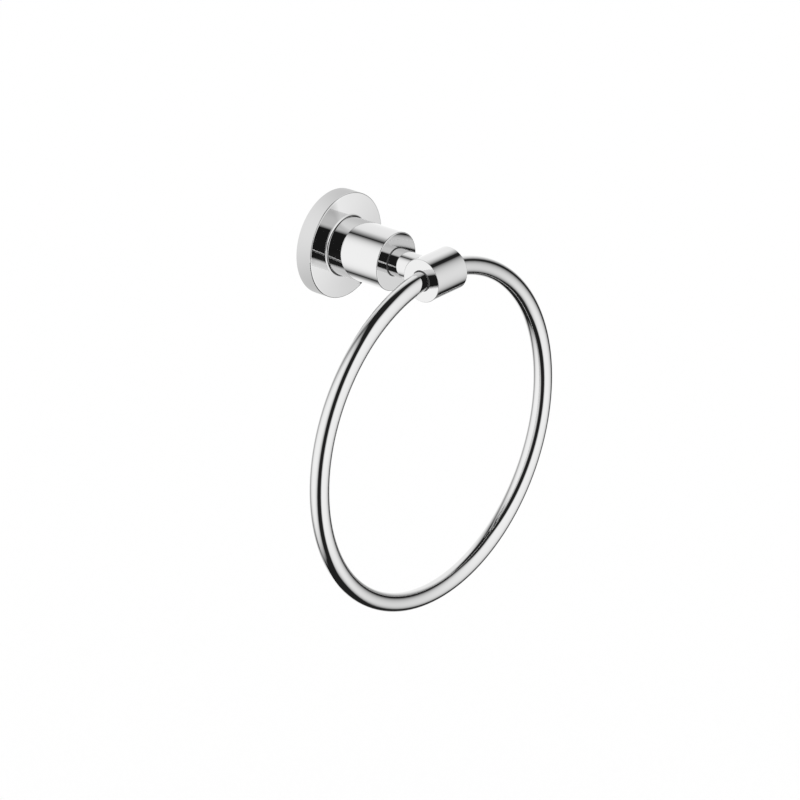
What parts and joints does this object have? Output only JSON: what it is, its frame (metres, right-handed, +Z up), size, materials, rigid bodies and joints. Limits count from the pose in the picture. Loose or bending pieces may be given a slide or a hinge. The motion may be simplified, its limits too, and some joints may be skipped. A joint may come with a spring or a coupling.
{
  "type": "towel ring",
  "caption": "Wall-mounted towel ring: a round rod ring held through a short cylindrical head, on a stem and post with a round wall rosette.",
  "frame": {"origin": "where the axis of the post meets the wall, at the centre of the two wall screws", "axes": "+Y into the wall, so the product stands out along -Y; +X along the wall, across the head; +Z up"},
  "size_m": [0.2, 0.0845, 0.2234],
  "materials": {
    "polished_chrome": "polished",
    "zinc_plate": "zinc plated, satin",
    "fastener_steel": "plain stainless",
    "black_nylon": "satin"
  },
  "bodies": {
    "root": {"wall_plate": "zinc_plate", "rosette": "polished_chrome", "rosette_lock_screw": "fastener_steel", "post": "polished_chrome", "post_screw": "fastener_steel", "post_screw_washer": "fastener_steel", "post_locating_pin": "fastener_steel", "stem_collar": "black_nylon", "stem": "polished_chrome", "head": "polished_chrome", "rod_sleeve_left": "black_nylon", "rod_sleeve_right": "black_nylon", "ring": "polished_chrome", "ring_joint_pin": "fastener_steel", "head_lock_screw_left": "fastener_steel", "head_lock_screw_right": "fastener_steel"}
  },
  "joints": []
}
